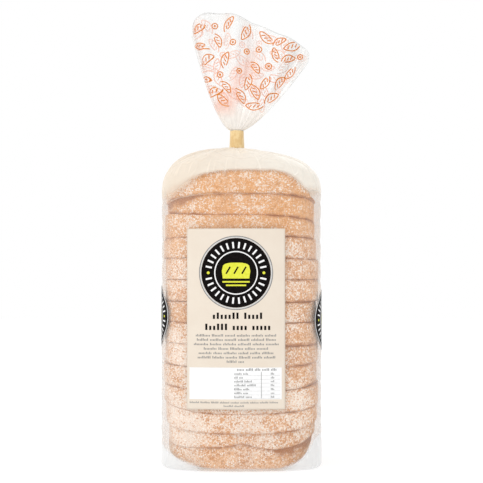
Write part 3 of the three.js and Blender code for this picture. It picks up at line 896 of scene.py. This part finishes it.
orange_ink = ink_material("orange_ink", (0.56, 0.160, 0.010, 1), (0.66, 0.24, 0.018, 1), 0.35, 0.9)
pale_primer = ink_material("pale_primer", (0.96, 0.50, 0.36, 1), (0.98, 0.60, 0.46, 1), 0.5, 0.55, 0.35)
ink_patches = []
primer_patches = []
for layer in (1, -1):
    centres = np.empty((0, 3))
    for u, s in chance.uniform((-0.93, 0.25), (0.78, 0.95), (900, 2)):
        centre = mouth_point(layer * np.arccos(-u), s)
        if len(centres) and np.linalg.norm(centres - centre, axis=1).min() < PRINT_SPACING:
            continue
        centres = np.vstack([centres, centre])
        lines = bun_lines() if chance.random() < 0.22 else baton_lines()
        turned = chance.uniform(0, 2 * np.pi)
        size = chance.uniform(0.85, 1.1)
        for line in lines:
            drawn = turned_by(line * size, turned)
            ink_patches.append(on_mouth(layer, u, s, ribbon(drawn, INK_LINE), INK_LIFT))
            primer_patches.append(on_mouth(layer, u, s, ribbon(drawn, PRIMER_LINE), PRIMER_LIFT))
new_patches("mouth_ink", ink_patches, orange_ink)
new_patches("mouth_primer", primer_patches, pale_primer)


# Label
# A tall label of cream paper, stuck on the film of the front, so that it follows the crown of the loaf.
LABEL_MIDDLE = -3.45 * mm
LABEL_WIDTH = 62.3 * mm
LABEL_FROM = 39.3 * mm
LABEL_HEIGHT = 114.2 * mm
LABEL_LIFT = 0.3 * mm
LABEL_THICKNESS = 0.12 * mm


def on_front(x, z, lift=0.0):
    """A point of the label: in depth the bag's crowned front, with a slow ripple of 0.12 mm, and a lift."""
    x, z = np.broadcast_arrays(x, z)
    across = np.abs(x) / BAG_HALF_WIDTH
    flat = (1 - across ** CORNER_POWER) ** (1 / CORNER_POWER)
    depth = (FRONT_DEPTH - CROWN_RISE) * flat + CROWN_RISE * (1 - across ** 2)
    ripple = 0.12 * mm * lumps(np.stack([x, 0 * x, z], -1), 17 * mm, 41)
    return np.stack([x, -(depth + LABEL_LIFT + lift) + ripple, z], -1)


cream_paper, tree, output = new_material("cream_paper")
place = put(tree, "ShaderNodeTexCoord").outputs["Object"]
mottle = noise(tree, place, 12 * mm, 3)
fibres = noise(tree, place, 0.5 * mm, 3, 0.7)
bump = put(tree, "ShaderNodeBump", {"Height": fibres, "Strength": 0.15, "Distance": 0.05 * mm})
colour = blend(tree, ranged(tree, mottle, 0.3, 0.7), (0.765, 0.672, 0.566, 1), (0.786, 0.698, 0.592, 1))
shader = put(tree, "ShaderNodeBsdfPrincipled", {
    "Base Color": colour, "Roughness": ranged(tree, fibres, 0.3, 0.7, 0.5, 0.6),
    "Specular IOR Level": 0.3, "Normal": bump.outputs["Normal"],
})
tree.links.new(shader.outputs[0], output.inputs["Surface"])
label_x = LABEL_MIDDLE + LABEL_WIDTH * np.linspace(-0.5, 0.5, 48)
label_z = LABEL_FROM + LABEL_HEIGHT * np.linspace(0, 1, 80)[:, None]
label = new_mesh("label_sheet", on_front(label_x, label_z), grid_faces(80, 48), cream_paper)
sheet = label.modifiers.new("paper_thickness", "SOLIDIFY")
sheet.thickness = LABEL_THICKNESS
sheet.offset = -1
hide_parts("front_label")
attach(label, "root")


# Label print
# A round emblem of plain bars and a loaf, under it dark blocks as headings and small print, and a white
# panel that holds a small ruled table. All of it is ink on the label, up to 0.13 mm high.
EMBLEM_RADIUS = 23.45 * mm
EMBLEM_HEIGHT = 125.4 * mm
FIRST_LIFT = 0.05 * mm
SECOND_LIFT = 0.09 * mm
THIRD_LIFT = 0.13 * mm


def box_patch(x0, x1, z0, z1):
    """A rectangle of the plane, cut every 3 mm across so that it can follow the crown."""
    x = np.linspace(x0, x1, 2 + int((x1 - x0) / (3 * mm)))
    return np.stack(np.meshgrid(x, np.array([z0, z1])), -1)


def ring_patch(inner, outer, start=0.0, end=2 * np.pi):
    """A flat ring round the origin, or a part of one, between two radii."""
    around = np.linspace(start, end, 2 + int(40 * (end - start) / np.pi))[:, None]
    radius = np.array([inner, outer])
    return np.stack([radius * np.cos(around), radius * np.sin(around)], -1)


def disc_patch(radius):
    """A round disc as a grid: a square, its x times the root of 1 - y^2 / 2 and its y times that of x."""
    x, y = np.meshgrid(np.linspace(-1, 1, 41), np.linspace(-1, 1, 41))
    return np.stack([x * np.sqrt(1 - y * y / 2), y * np.sqrt(1 - x * x / 2)], -1) * radius


def emblem():
    """The round emblem's patches about its middle, as rows of ink, lift and patches."""
    bars = [
        turned_by(box_patch(15.6 * mm, 19.6 * mm, -0.55 * mm, 0.55 * mm), np.radians(angle))
        for angle in range(0, 360, 12) if angle % 180
    ]
    across = np.linspace(-9, 9, 25) * mm
    crown = 5.2 * mm * (1 - np.abs(across / (9 * mm)) ** 3.2) ** (1 / 3.2) + 1.2 * mm
    loaf = np.stack([np.stack([across * 0.93, 0 * across - 3.6 * mm], -1), np.stack([across, crown], -1)])
    slash = np.linspace(0, 1, 7)[:, None]
    slashes = [
        ribbon(slash * (2.6 * mm, 4.4 * mm) + (at * mm, -0.6 * mm), 1.0 * mm) for at in (-6.3, -1.3, 3.7)
    ]
    shelf = [
        box_patch(-half * mm, half * mm, low * mm, (low + 1) * mm)
        for half, low in ((8.6, -6.2), (6.4, -8.4))
    ]
    studs = [disc_patch(0.9 * mm) + (side * 17.6 * mm, 0) for side in (-1, 1)]
    return [
        ("grey", FIRST_LIFT, [ring_patch(22.9 * mm, EMBLEM_RADIUS)]),
        ("pale", FIRST_LIFT, [ring_patch(22.2 * mm, 22.8 * mm)]),
        ("black", FIRST_LIFT, [disc_patch(22 * mm)]),
        ("white", SECOND_LIFT, [ring_patch(13.1 * mm, 13.8 * mm), *bars]),
        ("yellow", SECOND_LIFT, [loaf, *shelf, *studs]),
        ("black", THIRD_LIFT, slashes),
    ]


def word_blocks(x0, x1, base, tall, words):
    """A row of small upright blocks in word-long groups between two ends, as a line of print."""
    pitch = tall * 0.62
    count = int((x1 - x0) / pitch)
    gaps = np.linspace(0, count, words + 1)[1:-1] + chance.uniform(-0.8, 0.8, words - 1)
    heights = chance.choice([0.66, 0.66, 1.0], count) * tall
    return [
        box_patch(x0 + pitch * i, x0 + pitch * (i + 0.55), base, base + heights[i])
        for i in range(count) if i not in np.round(gaps)
    ]


inks = {
    "black": ink_material("black_ink", (0.004, 0.003, 0.003, 1), (0.008, 0.006, 0.006, 1), 0.4, gloss=0.04),
    "grey": ink_material("grey_ink", (0.20, 0.20, 0.20, 1), (0.28, 0.28, 0.28, 1), 0.45),
    "pale": ink_material("pale_grey_ink", (0.60, 0.60, 0.60, 1), (0.68, 0.68, 0.68, 1), 0.45),
    "white": ink_material("white_ink", (0.88, 0.88, 0.88, 1), (0.93, 0.93, 0.93, 1), 0.45),
    "yellow": ink_material("yellow_ink", (0.70, 0.72, 0.045, 1), (0.78, 0.79, 0.07, 1), 0.45),
}
printed = [
    (ink, lift, [patch + (LABEL_MIDDLE, EMBLEM_HEIGHT) for patch in patches])
    for ink, lift, patches in emblem()
]
headings = word_blocks(-18.1 * mm, 16.0 * mm, 96.3 * mm, 4.0 * mm, 2)
headings += word_blocks(-22.9 * mm, 21.4 * mm, 89.3 * mm, 4.0 * mm, 3)
small_lines = [
    (-28.9, 22.9, 85.2), (-28.2, 22.9, 82.5), (-30.1, 24.2, 79.7), (-23.8, 17.9, 76.9), (-27.0, 21.0, 74.1),
    (-27.6, 21.7, 71.4), (-9.3, 2.7, 68.7),
]
small_print = []
for x0, x1, base in small_lines:
    small_print += word_blocks(x0 * mm, x1 * mm, base * mm, 1.5 * mm, max(2, int((x1 - x0) / 8)))
table_rows = np.array([61.2, 58.8, 56.4, 54.0, 51.5, 49.1, 46.7]) * mm
table_ends = chance.uniform(1.5, 10.3, len(table_rows)) * mm
table = word_blocks(-2.7 * mm, 22.9 * mm, 63.7 * mm, 1.5 * mm, 5)
for base, end in zip(table_rows, table_ends):
    table += word_blocks(-4.5 * mm, end, base, 1.3 * mm, 2)
    table += word_blocks(18.5 * mm, 21.0 * mm, base, 1.3 * mm, 1)
rules = [box_patch(-4.5 * mm, 24.4 * mm, base - 0.62 * mm, base - 0.42 * mm) for base in table_rows]
footer = word_blocks(-32.7 * mm, 23.6 * mm, 43.2 * mm, 1.1 * mm, 9)
footer += word_blocks(-11.2 * mm, 2.1 * mm, 41.0 * mm, 1.1 * mm, 2)
printed += [
    ("black", FIRST_LIFT, headings),
    ("grey", FIRST_LIFT, small_print + footer),
    ("white", FIRST_LIFT, [box_patch(-32.9 * mm, 25.4 * mm, 45.7 * mm, 65.7 * mm)]),
    ("grey", SECOND_LIFT, table + [box_patch(12.35 * mm, 12.65 * mm, 46.4 * mm, 63.0 * mm)]),
    ("pale", SECOND_LIFT, rules),
]
for ink in inks:
    laid = [
        on_front(patch[..., 0], patch[..., 1], lift)
        for kind, lift, patches in printed if kind == ink for patch in patches
    ]
    new_patches(f"label_{ink}", laid, inks[ink])


# Side badges
# The same emblem, a little smaller, printed on the film of each side of the bag. It starts on the side and
# runs round the front corner.
BADGE_DEPTH = -19.0 * mm
BADGE_SIZE = 0.835
LEFT_BADGE_HEIGHT = 97.8 * mm
RIGHT_BADGE_HEIGHT = 95.2 * mm
BADGE_LIFT = 0.1 * mm

side_x, side_y = bag_outline(np.linspace(-0.2, 0.24, 900))
side_step = np.stack([np.gradient(side_x), np.gradient(side_y)])
side_length = np.cumsum(np.linalg.norm(side_step, axis=0))
side_out_x, side_out_y = np.stack([side_step[1], -side_step[0]]) / np.linalg.norm(side_step, axis=0)


def on_side(side, height, patch, lift):
    """A patch laid on the bag's left side, -1, or its right side, 1, round the badge's middle.

    Its flat way across is taken as length along the bag's level outline, from the middle's depth, and the
    lift is along the outline's outward normal. The right side is the left one mirrored.
    """
    length = np.interp(-BADGE_DEPTH, -side_y, side_length) - side * BADGE_SIZE * patch[..., 0]
    off = BADGE_LIFT + lift
    x, y, out_x, out_y = (
        np.interp(length, side_length, row) for row in (side_x, side_y, side_out_x, side_out_y)
    )
    return np.stack([-side * (x + off * out_x), y + off * out_y, height + BADGE_SIZE * patch[..., 1]], -1)


for side, name, height in ((-1, "left_badge", LEFT_BADGE_HEIGHT), (1, "right_badge", RIGHT_BADGE_HEIGHT)):
    for ink in ("grey", "pale", "black", "white", "yellow"):
        laid = [
            on_side(side, height, patch, lift)
            for kind, lift, patches in emblem() if kind == ink for patch in patches
        ]
        badge = new_patches(f"{name}_{ink}", laid, inks[ink])
        if ink == "black":
            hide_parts(name)
